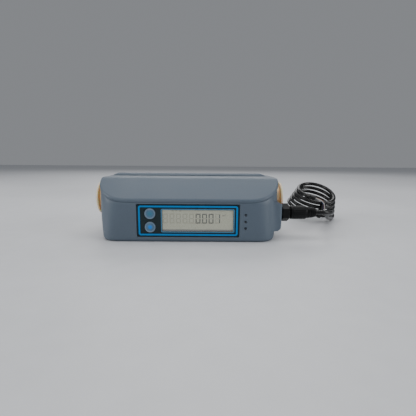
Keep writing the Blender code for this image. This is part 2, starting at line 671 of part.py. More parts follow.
def egg(x, y, z):
    """Turn a point of a round upright ring into one of the coil, in the coil's own frame."""
    cosine = x / sqrt(x * x + y * y)
    span = (COIL_SPAN - COIL_TAPER * z) / COIL_RADIUS
    return x * span, y * (1 + COIL_EGG * cosine), z * fan(cosine)


def make_cable():
    """The lead from the plug, and the plain outer shape of the tied coil that it runs into."""
    wire("cable", LEAD_ROUTE, CABLE_RADIUS, "rubber", 8.0)
    half_r, half_h = COIL_BAND
    soft = half_r * 0.6
    section = [(half_r, half_h - soft), (half_r, soft - half_h), (half_r - soft, -half_h),
               (soft - half_r, -half_h), (-half_r, soft - half_h), (-half_r, half_h - soft),
               (soft - half_r, half_h), (half_r - soft, half_h)]
    profile = [(COIL_RADIUS + across, up) for across, up in section]
    guide = turned("coil_guide", profile, "Z", (0, 0, 0), None, 32, closed=True)
    graph = bpy.context.evaluated_depsgraph_get()
    mesh = bpy.data.meshes.new_from_object(guide.evaluated_get(graph))
    bpy.data.objects.remove(guide, do_unlink=True)
    for vert in mesh.vertices:
        vert.co = vec(*egg(*(vert.co / MM)))
    coil = finish_object("cable_coil", mesh, "rubber")
    coil.matrix_world = Matrix.Translation(vec(*COIL_CENTRE)) @ Matrix(coil_frame()).transposed().to_4x4()
    ground = block("ground_cutter", (120, 220), (20, 140), (-20, 0.05))
    boolean(coil, ground)
    boolean(make_cable_tie(), ground)
    wire("flying_leads", LEADS_ROUTE, 1.8, "black", 4.0)


def make_cable_tie():
    """A band round the coil's section, square to the turns."""
    right, back, axis = coil_frame()
    angle = radians(TIE_ANGLE)
    outward = right * cos(angle) + back * sin(angle)
    along = axis.cross(outward)
    half_r, half_h = COIL_BAND[0], COIL_BAND[1] * fan(cos(angle))
    outlines = []
    for grow, soft in ((2.2, 3.4), (1.3, 2.8)):
        r, h = half_r + grow, half_h + grow
        outlines.append([(r, h - soft), (r - soft, h), (soft - r, h), (-r, h - soft), (-r, soft - h),
                         (soft - r, -h), (r - soft, -h), (r, soft - h)])
    tie = outline_prism("cable_tie", outlines, 4.0, "black")
    x, y, z = egg(COIL_RADIUS * cos(angle), COIL_RADIUS * sin(angle), 0)
    frame = Matrix((along, outward, axis)).transposed().to_4x4()
    frame.translation = vec(*(Vector(COIL_CENTRE) + right * x + back * y + axis * z))
    tie.matrix_world = frame @ Matrix(((0, 0, 1, 0), (1, 0, 0, 0), (0, 1, 0, 0), (0, 0, 0, 1)))
    return tie


def make_screws():
    profile = [(0, 0), (1.5, 0), (1.5, -17), (3.2, -17), (3.2, -19.3), (0, -19.3)]
    for number, (x, y) in enumerate(COVER_POSTS, 1):
        turned(f"cover_screw_{number}", profile, "Z", (x, y, 21.7), "steel", 8)


def main():
    clear_scene()
    make_lower_housing()
    make_top_cover()
    gasket_ring("cover_gasket", 0.9, 2.1, GAP, GAP + 1.2, "rubber")
    make_rear_cover()
    make_display()
    make_board()
    make_keys()
    make_lenses()
    make_flow_tube()
    make_transducers()
    make_tube_mounts()
    make_ports()
    make_battery()
    make_connector()
    make_cable()
    make_screws()


main()
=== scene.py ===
"""Looks of the inline ultrasonic volume meter. Lengths are millimetres; MM turns them into metres."""

from math import acos, atan2, cos, pi, radians, sin, tan

import bmesh
import bpy
from mathutils import Matrix, Vector


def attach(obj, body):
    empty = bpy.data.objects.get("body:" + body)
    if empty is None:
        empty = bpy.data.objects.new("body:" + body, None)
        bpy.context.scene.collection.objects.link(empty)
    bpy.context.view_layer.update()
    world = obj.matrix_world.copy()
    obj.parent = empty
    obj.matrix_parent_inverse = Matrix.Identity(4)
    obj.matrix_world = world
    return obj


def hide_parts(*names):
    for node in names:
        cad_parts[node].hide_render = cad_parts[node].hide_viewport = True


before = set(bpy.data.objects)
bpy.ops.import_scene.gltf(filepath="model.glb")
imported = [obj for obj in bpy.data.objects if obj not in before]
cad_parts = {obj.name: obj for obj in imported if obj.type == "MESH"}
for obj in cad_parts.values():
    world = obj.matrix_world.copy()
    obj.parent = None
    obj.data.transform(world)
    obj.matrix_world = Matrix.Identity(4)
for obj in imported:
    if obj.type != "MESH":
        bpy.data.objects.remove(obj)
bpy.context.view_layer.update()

MM = 0.001
GAP = 0.3


# ---------------------------------------------------------------- camera, floor, light

CAMERA_PLACE = (19.2, -330.4, 81.8)
CAMERA_YAW = 0.14
CAMERA_PITCH = 9.43
CAMERA_ROLL = 0.42
CAMERA_LENS = 25.6


def make_camera():
    """The camera stands low in front of the housing and looks slightly down."""
    data = bpy.data.cameras.new("camera")
    data.lens = CAMERA_LENS
    data.sensor_width = 36.0
    data.clip_start = 0.01
    data.clip_end = 20.0
    camera = bpy.data.objects.new("camera", data)
    turn = (Matrix.Rotation(radians(-CAMERA_YAW), 4, "Z")
            @ Matrix.Rotation(radians(90 - CAMERA_PITCH), 4, "X")
            @ Matrix.Rotation(radians(CAMERA_ROLL), 4, "Z"))
    camera.matrix_world = Matrix.Translation(Vector(CAMERA_PLACE) * MM) @ turn
    bpy.context.scene.collection.objects.link(camera)
    bpy.context.scene.camera = camera


# Each softbox in metres and watts: its name, place, aim, size and power.
SOFTBOXES = (
    ("top_softbox", (0.05, 0.10, 1.0), (0.03, 0.0, 0.03), (1.2, 0.8), 5.4),
    ("back_softbox", (0.05, 1.30, 0.95), (0.03, 0.0, 0.03), (1.6, 0.6), 9.0),
    ("front_softbox", (-0.5, -1.3, 0.70), (0.03, 0.0, 0.03), (1.0, 0.8), 5.0),
    ("right_softbox", (1.1, -0.4, 0.5), (0.08, 0.0, 0.03), (0.5, 0.8), 6.0),
    ("left_softbox", (-1.1, -0.2, 0.5), (-0.08, 0.0, 0.03), (0.5, 0.8), 5.5),
)
STUDIO_COLOUR, STUDIO_STRENGTH = (0.80, 0.83, 0.88, 1.0), 0.30
FLOOR_HALF_SIZE = 3.0


def add_softbox(name, place, aim, size, power):
    """One rectangular area light that looks at a point."""
    data = bpy.data.lights.new(name, "AREA")
    data.shape = "RECTANGLE"
    data.size, data.size_y = size
    data.energy = power
    lamp = bpy.data.objects.new(name, data)
    lamp.location = place
    lamp.rotation_euler = (Vector(aim) - Vector(place)).to_track_quat("-Z", "Y").to_euler()
    bpy.context.scene.collection.objects.link(lamp)


def make_stage():
    """Soft light from all sides over a plain pale floor."""
    for softbox in SOFTBOXES:
        add_softbox(*softbox)
    world = bpy.data.worlds.new("studio")
    world.use_nodes = True
    background = world.node_tree.nodes["Background"]
    background.inputs["Color"].default_value = STUDIO_COLOUR
    background.inputs["Strength"].default_value = STUDIO_STRENGTH
    bpy.context.scene.world = world
    bm = bmesh.new()
    bmesh.ops.create_grid(bm, x_segments=2, y_segments=2, size=FLOOR_HALF_SIZE)
    mesh = bpy.data.meshes.new("floor")
    bm.to_mesh(mesh)
    bm.free()
    floor = bpy.data.objects.new("floor", mesh)
    bpy.context.scene.collection.objects.link(floor)
    pale = surface("floor", (0.62, 0.63, 0.65), roughness=0.45, grain=60, mottling=0.02)
    floor.data.materials.append(pale)


# ---------------------------------------------------------------- materials

COAT_ROUGHNESS = 0.1
BROAD_TO_FINE = 0.06
NOISE_LOW, NOISE_HIGH = 0.3, 0.7


def surface(name, colour, roughness=0.5, metallic=0.0, grain=900.0, bump=0.0, bump_scale=1500.0,
            mottling=0.05, rough_spread=0.06, specular=0.5, coat=0.0, subsurface=0.0,
            subsurface_radius=(0.004, 0.003, 0.002), alpha=1.0, stretch=(1, 1, 1)):
    """A procedural material: two sizes of noise vary its colour and gloss, and a third its height."""
    mat = bpy.data.materials.new(name)
    mat.use_nodes = True
    tree = mat.node_tree
    nodes, links = tree.nodes, tree.links
    shader = nodes["Principled BSDF"]
    sockets = {
        "Metallic": metallic, "Specular IOR Level": specular, "Coat Weight": coat,
        "Coat Roughness": COAT_ROUGHNESS, "Subsurface Weight": subsurface,
        "Subsurface Radius": subsurface_radius, "Alpha": alpha,
    }
    for socket, value in sockets.items():
        shader.inputs[socket].default_value = value
    if subsurface:
        shader.inputs["Subsurface Scale"].default_value = 1.0
    coords = nodes.new("ShaderNodeTexCoord")
    mapping = nodes.new("ShaderNodeMapping")
    mapping.inputs["Scale"].default_value = stretch
    links.new(coords.outputs["Object"], mapping.inputs["Vector"])

    def noise(scale, detail):
        """A noise pattern of so many waves a metre."""
        node = nodes.new("ShaderNodeTexNoise")
        node.inputs["Scale"].default_value = scale
        node.inputs["Detail"].default_value = detail
        links.new(mapping.outputs["Vector"], node.inputs["Vector"])
        return node.outputs["Fac"]

    def ramp(source, low, high):
        """Stretch a noise's middle range between two values."""
        node = nodes.new("ShaderNodeMapRange")
        node.inputs["From Min"].default_value = NOISE_LOW
        node.inputs["From Max"].default_value = NOISE_HIGH
        node.inputs["To Min"].default_value = low
        node.inputs["To Max"].default_value = high
        links.new(source, node.inputs["Value"])
        return node.outputs["Result"]

    broad, fine = noise(grain * BROAD_TO_FINE, 3.0), noise(grain, 4.0)
    blend = nodes.new("ShaderNodeMath")
    blend.operation = "ADD"
    links.new(ramp(broad, -mottling, mottling), blend.inputs[0])
    links.new(ramp(fine, 1 - mottling, 1 + mottling), blend.inputs[1])
    tint = nodes.new("ShaderNodeVectorMath")
    tint.operation = "SCALE"
    tint.inputs[0].default_value = colour
    links.new(blend.outputs["Value"], tint.inputs["Scale"])
    links.new(tint.outputs["Vector"], shader.inputs["Base Color"])
    links.new(ramp(broad, max(0.02, roughness - rough_spread), roughness + rough_spread),
              shader.inputs["Roughness"])
    if bump:
        relief = nodes.new("ShaderNodeBump")
        relief.inputs["Strength"].default_value = 1.0
        relief.inputs["Distance"].default_value = bump * MM
        links.new(noise(bump_scale, 2.0), relief.inputs["Height"])
        links.new(relief.outputs["Normal"], shader.inputs["Normal"])
    return mat


def make_materials():
    """Every finish of the object by name."""
    made = {
        "housing": surface("housing_plastic", (0.084, 0.114, 0.150), 0.44, grain=700, bump=0.02,
                           bump_scale=2200, mottling=0.035, specular=0.45),
        "overlay": surface("overlay_film", (0.0060, 0.0170, 0.0205), 0.24, grain=500, bump=0.003,
                           bump_scale=1800, mottling=0.08, specular=0.26),
        "blue_print": surface("blue_print", (0.000, 0.205, 0.540), 0.36, grain=2500, bump=0.004,
                              mottling=0.04, specular=0.2),
        "pale_print": surface("pale_blue_print", (0.045, 0.215, 0.380), 0.36, grain=2500, bump=0.004,
                              mottling=0.04),
        "window": surface("window_acrylic", (0.75, 0.78, 0.72), 0.06, grain=300, mottling=0.01,
                          rough_spread=0.015, alpha=0.08, specular=0.6),
        "lcd": surface("lcd_reflector", (0.450, 0.450, 0.345), 0.34, grain=5200, bump=0.0, mottling=0.035,
                       specular=0.55),
        # Grey of the holder's lip under the display glass, darkened as painted shade for the window's lower
        # edge.
        "lcd_lip_painted_shade": surface("lcd_lip_painted_shade", (0.160, 0.155, 0.160), 0.4, grain=3000, mottling=0.05),
        "segment": surface("lcd_segment_on", (0.045, 0.047, 0.042), 0.34, grain=4000, mottling=0.04),
        "ghost": surface("lcd_segment_off", (0.330, 0.335, 0.258), 0.34, grain=4000, mottling=0.03),
        # The cap is paler than its face: partly the key's own colour, partly a painted highlight on the
        # raised rim.
        "key_rim_painted_highlight": surface("key_rim_painted_highlight", (0.160, 0.235, 0.320), 0.42, grain=1500, bump=0.008, mottling=0.04),
        "key_face": surface("key_face", (0.065, 0.155, 0.255), 0.38, grain=1500, bump=0.008, mottling=0.05),
        "key_teal": surface("key_teal", (0.030, 0.165, 0.265), 0.38, grain=3000, bump=0.006, mottling=0.05),
        "key_blue": surface("key_blue", (0.000, 0.190, 0.680), 0.30, grain=3000, bump=0.004, mottling=0.04),
        "lens": surface("lens_smoke", (0.012, 0.019, 0.032), 0.20, grain=900, mottling=0.1, coat=0.4),
        "brass": surface("turned_brass", (0.980, 0.720, 0.430), 0.40, 0.6, grain=260, bump=0.010,
                         bump_scale=900, mottling=0.08, stretch=(9, 1, 1)),
        "ivory": surface("ivory_polyethylene", (0.830, 0.690, 0.500), 0.42, grain=320, bump=0.012,
                         bump_scale=700, mottling=0.04, subsurface=0.55,
                         subsurface_radius=(0.009, 0.005, 0.0022)),
        "connector": surface("connector_plastic", (0.0036, 0.0036, 0.0042), 0.34, grain=1100, bump=0.012,
                             bump_scale=2400, mottling=0.12, specular=0.20),
        "jacket": surface("cable_jacket", (0.0036, 0.0036, 0.0038), 0.26, grain=900, bump=0.015,
                          bump_scale=1500, mottling=0.15, specular=0.34),
        "rubber": surface("seal_rubber", (0.014, 0.014, 0.014), 0.7, grain=1200, bump=0.02, mottling=0.15),
        "board": surface("solder_mask", (0.012, 0.110, 0.040), 0.32, grain=1600, bump=0.015,
                         bump_scale=600, mottling=0.18, coat=0.3),
        "black": surface("black_nylon", (0.016, 0.016, 0.017), 0.55, grain=1000, bump=0.02,
                         bump_scale=1800, mottling=0.12),
        "wire": surface("red_insulation", (0.360, 0.018, 0.012), 0.4, grain=900, bump=0.01, mottling=0.08),
        "battery": surface("battery_sleeve", (0.030, 0.150, 0.055), 0.28, grain=500, bump=0.01,
                           bump_scale=500, mottling=0.08, coat=0.4),
        "steel": surface("zinc_steel", (0.560, 0.565, 0.580), 0.30, 1.0, grain=800, bump=0.008,
                         bump_scale=1600, mottling=0.08),
        "tinned": surface("tinned_copper", (0.600, 0.590, 0.570), 0.28, 1.0, grain=2500, bump=0.01,
                          mottling=0.1),
    }
    for core, colour in (("brown", (0.110, 0.040, 0.016)), ("white", (0.420, 0.420, 0.400)),
                         ("blue", (0.015, 0.075, 0.340)), ("grey", (0.160, 0.160, 0.165))):
        made["core_" + core] = surface("core_" + core, colour, 0.42, grain=2500, bump=0.006, mottling=0.06)
    return made


# ---------------------------------------------------------------- mesh tools

def mesh_object(name, bm):
    """An object from a bmesh in millimetres, with its normals pointing out."""
    bmesh.ops.recalc_face_normals(bm, faces=bm.faces)
    bmesh.ops.scale(bm, vec=(MM, MM, MM), verts=bm.verts)
    mesh = bpy.data.meshes.new(name)
    bm.to_mesh(mesh)
    bm.free()
    obj = bpy.data.objects.new(name, mesh)
    bpy.context.scene.collection.objects.link(obj)
    return obj


def carve(target, cutter, operation="DIFFERENCE"):
    """Apply one boolean to the target and drop the cutter."""
    cut = target.modifiers.new("cut", "BOOLEAN")
    cut.operation = operation
    cut.solver = "EXACT"
    cut.object = cutter
    graph = bpy.context.evaluated_depsgraph_get()
    mesh = bpy.data.meshes.new_from_object(target.evaluated_get(graph))
    target.modifiers.clear()
    target.data = mesh
    bpy.data.objects.remove(cutter, do_unlink=True)


def settle(obj, finish, body="root", replaces=(), smooth=32.0):
    """Give a piece its finish and its body, and hide the CAD nodes that it stands for."""
    obj.data.materials.clear()
    obj.data.materials.append(MATERIALS[finish])
    obj.data.shade_smooth()
    obj.data.set_sharp_from_angle(angle=radians(smooth))
    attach(obj, body)
    if replaces:
        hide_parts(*replaces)


def arc_corner(before, corner, after, radius, steps):
    """Points that round one corner of an outline. A sharp or a straight corner stays one point."""
    tip = Vector(corner)
    back, onward = (Vector(before) - tip).normalized(), (Vector(after) - tip).normalized()
    angle = acos(max(-1.0, min(1.0, back.dot(onward))))
    if radius <= 0 or angle > pi - 0.01:
        return [tip]
    reach = radius / tan(angle / 2)
    centre = tip + (back + onward).normalized() * (radius / sin(angle / 2))
    start, end = tip + back * reach - centre, tip + onward * reach - centre
    turn = atan2(start.x * end.y - start.y * end.x, start.dot(end))
    return [centre + Matrix.Rotation(turn * k / steps, 2) @ start for k in range(steps + 1)]


def rounded(points, radius, steps=4, closed=True):
    """An outline with each corner rounded; a point may carry its own radius as a third number."""
    out, count = [], len(points)
    for i, point in enumerate(points):
        own = point[2] if len(point) > 2 else radius
        if not closed and i in (0, count - 1):
            out.append(Vector(point[:2]))
            continue
        out += arc_corner(points[i - 1][:2], point[:2], points[(i + 1) % count][:2], own, steps)
    return out


def rounded_rectangle(centre, size, radius, steps=6):
    """A rectangle's outline about its centre, counter-clockwise, with round corners."""
    x, z, w, h = *centre, size[0] / 2, size[1] / 2
    return rounded([(x - w, z - h), (x + w, z - h), (x + w, z + h), (x - w, z + h)], radius, steps)


AXES = {"X": (Vector((1, 0, 0)), Vector((0, 1, 0))), "-X": (Vector((-1, 0, 0)), Vector((0, 1, 0))),
        "Y": (Vector((0, 1, 0)), Vector((0, 0, 1))), "-Y": (Vector((0, -1, 0)), Vector((0, 0, 1))),
        "Z": (Vector((0, 0, 1)), Vector((1, 0, 0)))}


def lathe(name, profile, axis, origin, segments=96, shape=None, closed=False):
    """Turn a profile of (radius, height) about an axis. shape(angle, radius, height) may vary the radius."""
    along, side = AXES[axis]
    other = along.cross(side)
    origin = Vector(origin)
    bm = bmesh.new()
    rings = []
    for radius, height in profile:
        if radius < 1e-6:
            rings.append([bm.verts.new(origin + along * height)])
            continue
        ring = []
        for k in range(segments):
            angle = 2 * pi * k / segments
            r = shape(angle, radius, height) if shape else radius
            ring.append(bm.verts.new(origin + along * height + (side * cos(angle) + other * sin(angle)) * r))
        rings.append(ring)
    pairs = list(zip(rings, rings[1:]))
    if closed:
        pairs.append((rings[-1], rings[0]))
    for lower, upper in pairs:
        for k in range(segments):
            n = (k + 1) % segments
            corners = [lower[k % len(lower)], lower[n % len(lower)],
                       upper[n % len(upper)], upper[k % len(upper)]]
            bm.faces.new(list(dict.fromkeys(corners)))
    return mesh_object(name, bm)


def loft(name, rings):
    """Skin a list of point rings that have the same count, and cap both ends."""
    bm = bmesh.new()
    made = [[bm.verts.new(point) for point in ring] for ring in rings]
    count = len(made[0])
    for lower, upper in zip(made, made[1:]):
        for k in range(count):
            n = (k + 1) % count
            bm.faces.new((lower[k], lower[n], upper[n], upper[k]))
    bm.faces.new(made[0][::-1])
    bm.faces.new(made[-1])
    return mesh_object(name, bm)


def offset(outline, distance):
    """Move a smooth counter-clockwise outline outward along its own normals."""
    out, count = [], len(outline)
    for i, point in enumerate(outline):
        edge = outline[(i + 1) % count] - outline[i - 1]
        normal = Vector((edge.y, -edge.x)).normalized()
        out.append(point + normal * distance)
    return out


def plate(name, outline, front, back, edge=0.0):
    """A plate in the XZ plane between two depths, with its front rim rounded if asked."""
    def ring(depth, grow):
        """The outline at a depth, moved outward or inward."""
        return [Vector((p.x, depth, p.y)) for p in (offset(outline, grow) if grow else outline)]

    rings = [ring(front, -edge)]
    if edge:
        bends = [pi / 8 * k for k in range(1, 5)]
        rings += [ring(front + edge * (1 - cos(a)), -edge * (1 - sin(a))) for a in bends]
    rings.append(ring(back, 0))
    return loft(name, rings)


def print_shapes(name, shapes, front, thickness, finish):
    """Flat printed shapes, each an outline or an (outline, hole) pair, as one thin piece."""
    bm = bmesh.new()
    back = front + thickness
    for shape in shapes:
        outer, hole = shape if isinstance(shape, tuple) else (shape, None)
        if hole is None:
            near = [bm.verts.new((p.x, front, p.y)) for p in outer]
            far = [bm.verts.new((p.x, back, p.y)) for p in outer]
            bm.faces.new(near)
            bm.faces.new(far[::-1])
            for k in range(len(outer)):
                n = (k + 1) % len(outer)
                bm.faces.new((near[n], near[k], far[k], far[n]))
            continue
        rings = [[bm.verts.new((p.x, y, p.y)) for p in loop]
                 for y, loop in ((front, outer), (back, outer), (back, hole), (front, hole))]
        for lower, upper in zip(rings, rings[1:] + rings[:1]):
            for k in range(len(outer)):
                n = (k + 1) % len(outer)
                bm.faces.new((lower[k], lower[n], upper[n], upper[k]))
    settle(mesh_object(name, bm), finish)


def smooth_route(points, spacing):
    """Points along a Catmull-Rom curve through the given ones, about evenly spaced."""
    route = [Vector(p) for p in points]
    padded = [route[0] * 2 - route[1], *route, route[-1] * 2 - route[-2]]
    fine = [route[0]]
    for before, start, end, after in zip(padded, padded[1:], padded[2:], padded[3:]):
        steps = max(2, round((end - start).length / spacing))
        for step in range(1, steps + 1):
            t = step / steps
            fine.append(0.5 * (2 * start + (end - before) * t
                               + (2 * before - 5 * start + 4 * end - after) * t ** 2
                               + (3 * start - before - 3 * end + after) * t ** 3))
    return fine


def cord_curve(name, points, radius, finish, replaces=(), sides=8):
    """A round cord or wire as a curve through dense points."""
    curve = bpy.data.curves.new(name, "CURVE")
    curve.dimensions = "3D"
    curve.bevel_depth = radius * MM
    curve.bevel_resolution = sides
    curve.use_fill_caps = True
    spline = curve.splines.new("POLY")
    spline.points.add(len(points) - 1)
    for target, place in zip(spline.points, points):
        target.co = (*(place * MM), 1.0)
    spline.use_smooth = True
    obj = bpy.data.objects.new(name, curve)
    bpy.context.scene.collection.objects.link(obj)
    curve.materials.append(MATERIALS[finish])
    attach(obj, "root")
    if replaces:
        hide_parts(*replaces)
    return obj


# ---------------------------------------------------------------- housing

HALF_W, HALF_D = 94.5, 46.0
TUB_RADIUS_LOW, TUB_RADIUS_TOP = 18.0, 41.0
LID_RADIUS, REAR_RADIUS, BASE_RADIUS = 34.0, 8.0, 3.4
CORNER_STEPS = 28
WALL = 3.0
DRAFT, TUB_TOP = 0.066, 66.0
LID_TOP, SLOPE_LOW, CREST_Y = 62.0, 42.7, -11.0
SLOPE = (LID_TOP - SLOPE_LOW) / (CREST_Y + HALF_D)
CREST_BLEND = 2.6
LIP = 3.4
LID_EDGE = 1.5
TUBE_Y, TUBE_Z = 6.0, 38.1
BOSS_FRONT, BOSS_BLEND = -36.0, radians(41)
SIDE_HEIGHTS = (8.0, 13.0, 18.0, 23.0, 28.0, 33.0, 37.0)
SCREW_PLACES = ((-67.0, -34.0), (67.0, -34.0), (-79.0, 36.5), (79.0, 36.5))
PLUG_Y, PLUG_Z = -24.0, 27.0


def lid_height(y):
    """Height of the lid's top: a slope at the front, a soft crest, then level."""
    beyond = y - CREST_Y
    if beyond < -CREST_BLEND:
        return LID_TOP + SLOPE * beyond
    if beyond > CREST_BLEND:
        return LID_TOP
    return LID_TOP - SLOPE * (CREST_BLEND - beyond) ** 2 / (4 * CREST_BLEND)


def front_corner(inset, radius, step):
    """One point of the round front right corner, counted from the front."""
    angle = pi / 2 * step / CORNER_STEPS
    own = radius - inset
    return Vector((HALF_W - inset - own + own * sin(angle), inset - HALF_D + own - own * cos(angle)))


def plan(inset, corner, side_ys=()):
    """Plan outline of the housing, counter-clockwise from the front, symmetrical about X = 0."""
    w, d = HALF_W - inset, HALF_D - inset
    rear = max(REAR_RADIUS - inset, 0.5)
    right = corner + [Vector((w, y)) for y in side_ys]
    for k in range(CORNER_STEPS + 1):
        angle = pi / 2 * k / CORNER_STEPS
        right.append(Vector((w - rear + rear * cos(angle), d - rear + rear * sin(angle))))
    return right + [Vector((-p.x, p.y)) for p in reversed(right)]


def strips(bm, ring):
    """Cap a ring that is symmetrical about X = 0 with strips across it."""
    for k in range(len(ring) // 2 - 1):
        bm.faces.new((ring[k], ring[k + 1], ring[-2 - k], ring[-1 - k]))


def shell(name, rings):
    """A closed shell from rings that run from the middle of one face, over the rim, to the other."""
    bm = bmesh.new()
    made = [[bm.verts.new(point) for point in ring] for ring in rings]
    count = len(made[0])
    for lower, upper in zip(made, made[1:]):
        for k in range(count):
            n = (k + 1) % count
            bm.faces.new((lower[k], lower[n], upper[n], upper[k]))
    strips(bm, made[0])
    strips(bm, made[-1])
    return mesh_object(name, bm)


def drafted(x, y, z):
    """The tub narrows towards its base on a soft curve."""
    return Vector((x * (1 - DRAFT * (1 - z / TUB_TOP) ** 2), y, z))


def tub_radius(z):
    """The tub's front corners widen evenly from the base up."""
    return TUB_RADIUS_LOW + (TUB_RADIUS_TOP - TUB_RADIUS_LOW) * z / TUB_TOP


def tub_height(y, height):
    """A height as it is, or below the lid's surface when it is negative."""
    return lid_height(y) + height if height < 0 else height


def tub_ring(inset, height):
    """A ring of the tub at a height, or at a distance below the lid's surface when that is negative."""
    corner = []
    for k in range(CORNER_STEPS + 1):
        point = front_corner(inset, LID_RADIUS, k)
        for _ in range(6):
            point = front_corner(inset, tub_radius(tub_height(point.y, height)), k)
        corner.append(point)
    return [drafted(p.x, p.y, tub_height(p.y, height)) for p in plan(inset, corner)]


def make_tub():
    """The lower housing: a shell with the connector's block, recesses, holes and screw sockets."""
    inner_radius = BASE_RADIUS - WALL
    quarter = [pi / 2 * k / 8 for k in range(9)]
    rings = [tub_ring(BASE_RADIUS * (1 - sin(a)), BASE_RADIUS * (1 - cos(a))) for a in quarter]
    rings += [tub_ring(0, z) for z in SIDE_HEIGHTS]
    rings += [tub_ring(0, -LIP - 0.35), tub_ring(0.12, -LIP - 0.1), tub_ring(0.4, -LIP)]
    rings += [tub_ring(WALL - 0.3, -LIP), tub_ring(WALL, -LIP - 0.3)]
    rings += [tub_ring(WALL, z) for z in reversed(SIDE_HEIGHTS)]
    rings += [tub_ring(WALL + inner_radius * (1 - sin(a)), WALL + inner_radius * (1 - cos(a)))
              for a in reversed(quarter)]
    tub = shell("tub", rings)
    carve(tub, make_boss(), "UNION")
    carve(tub, box_piece("boss_hollow", (70, 92.2), (PLUG_Y - 9, PLUG_Y + 9), (18, 36)))
    bore = [(0, 85), (6.4, 85), (6.4, 105), (0, 105)]
    carve(tub, lathe("connector_hole", bore, "X", (0, PLUG_Y, PLUG_Z), 64))
    face = -HALF_D + RECESS_DEPTH
    recess = rounded_rectangle(RECESS_CENTRE, RECESS_SIZE, 1.3)
    carve(tub, cutter_plate("recess", recess, -HALF_D, face, 0.35))
    opening = rounded_rectangle(WINDOW_CENTRE, (WINDOW_SIZE[0] - 0.6, WINDOW_SIZE[1] - 0.6), 0.6)
    carve(tub, cutter_plate("display_opening", opening, face, face + 8, 0.0))
    for z in KEY_Z.values():
        carve(tub, front_hole("key_hole", KEY_X, z, 5.55, 64))
    for z in LENS_Z:
        bore = [(0, -50), (1.75, -50), (1.75, -46.05), (1.25, -45.6), (1.25, -40), (0, -40)]
        carve(tub, lathe("lens_hole", bore, "Y", (LENS_X, 0, z), 32))
    for side in ("X", "-X"):
        bore = [(0, 80), (17.3, 80), (17.3, 92.8), (17.9, 93.4), (17.9, 110), (0, 110)]
        carve(tub, lathe("tube_hole", bore, side, (0, TUBE_Y, TUBE_Z), 96))
    socket = [(0, 1.2), (6.3, 1.2), (6.3, 9.3), (5.9, 9.7), (0, 9.7)]
    for x, y in SCREW_PLACES:
        carve(tub, lathe("socket", socket, "Z", (x, y, 0), 48), "UNION")
    bore = [(0, -5), (4.1, -5), (4.1, 0), (3.6, 0.5), (3.6, 4.9), (1.9, 4.9), (1.9, 20), (0, 20)]
    for x, y in SCREW_PLACES:
        carve(tub, lathe("socket_bore", bore, "Z", (x, y, 0), 44))
    settle(tub, "housing", replaces=("lower_housing",), smooth=30)


def front_hole(name, x, z, radius, segments):
    """A round cutter that passes through the front wall."""
    profile = [(0, -50), (radius, -50), (radius, -40), (0, -40)]
    return lathe(name, profile, "Y", (x, 0, z), segments)


def box_piece(name, xs, ys, zs):
    """A plain box between two X, two Y and two Z values."""
    bm = bmesh.new()
    bmesh.ops.create_cube(bm, size=1.0)
    size = Vector((xs[1] - xs[0], ys[1] - ys[0], zs[1] - zs[0]))
    bmesh.ops.scale(bm, vec=size, verts=bm.verts)
    bmesh.ops.translate(bm, vec=Vector((xs[0] + xs[1], ys[0] + ys[1], zs[0] + zs[1])) / 2, verts=bm.verts)
    return mesh_object(name, bm)


def cutter_plate(name, outline, front, back, flare):
    """A cutter in the XZ plane that starts before the front face, with a flared mouth."""
    mouth = flare + 1.0
    rings = [[Vector((p.x, front - 1.0, p.y)) for p in offset(outline, mouth)] if flare else
             [Vector((p.x, front - 1.0, p.y)) for p in outline]]
    rings.append([Vector((p.x, front + flare, p.y)) for p in outline])
    rings.append([Vector((p.x, back, p.y)) for p in outline])
    return loft(name, rings)


def boss_outline(z):
    """Plan outline of the connector's block at a height. Its front grows out of the tub's corner."""
    radius = tub_radius(z)
    centre = Vector((HALF_W - radius, radius - HALF_D))
    start = centre + Vector((sin(BOSS_BLEND), -cos(BOSS_BLEND))) * (radius - 0.02)
    start.x = drafted(start.x, 0, z).x
    turn = Vector((start.x + (BOSS_FRONT - start.y) / tan(BOSS_BLEND), BOSS_FRONT))
    end = Vector((turn.x + (turn - start).length, BOSS_FRONT))
    steps = [k / 12 for k in range(13)]
    front = [(1 - t) ** 2 * start + 2 * t * (1 - t) * turn + t * t * end for t in steps]
    rest = rounded([(91.6, BOSS_FRONT), (95.6, BOSS_FRONT, 3.6), (95.6, -12, 1.6), (80, -12), (70, -30)],
                   0, 6)
    return [Vector((p.x, p.y, z)) for p in front + rest[1:]]


def make_boss():
    """The connector's block: its side outline and its plan outline crossed, with soft edges."""
    side = rounded([(70, 9.5), (91.5, 9.5, 1.5), (94.2, 12, 2), (95.2, 18, 4), (95.4, 36.8, 1.4),
                    (84, 42.4, 2), (70, 42.4)], 0, 6)
    profile = loft("boss", [[Vector((p.x, y, p.y)) for p in side] for y in (-50, 0)])
    block = loft("boss_plan", [boss_outline(3.0 * k) for k in range(1, 17)])
    carve(profile, block, "INTERSECT")
    return profile


CREST_YS = tuple(CREST_Y + d for d in (-0.6, 0.0, 0.6, 1.2, 1.8, 2.6))


def lid_ring(inset, drop):
    """A ring of the lid some distance below its top surface."""
    corner = [front_corner(inset, LID_RADIUS, k) for k in range(CORNER_STEPS + 1)]
    return [Vector((p.x, p.y, lid_height(p.y) - drop)) for p in plan(inset, corner, CREST_YS)]


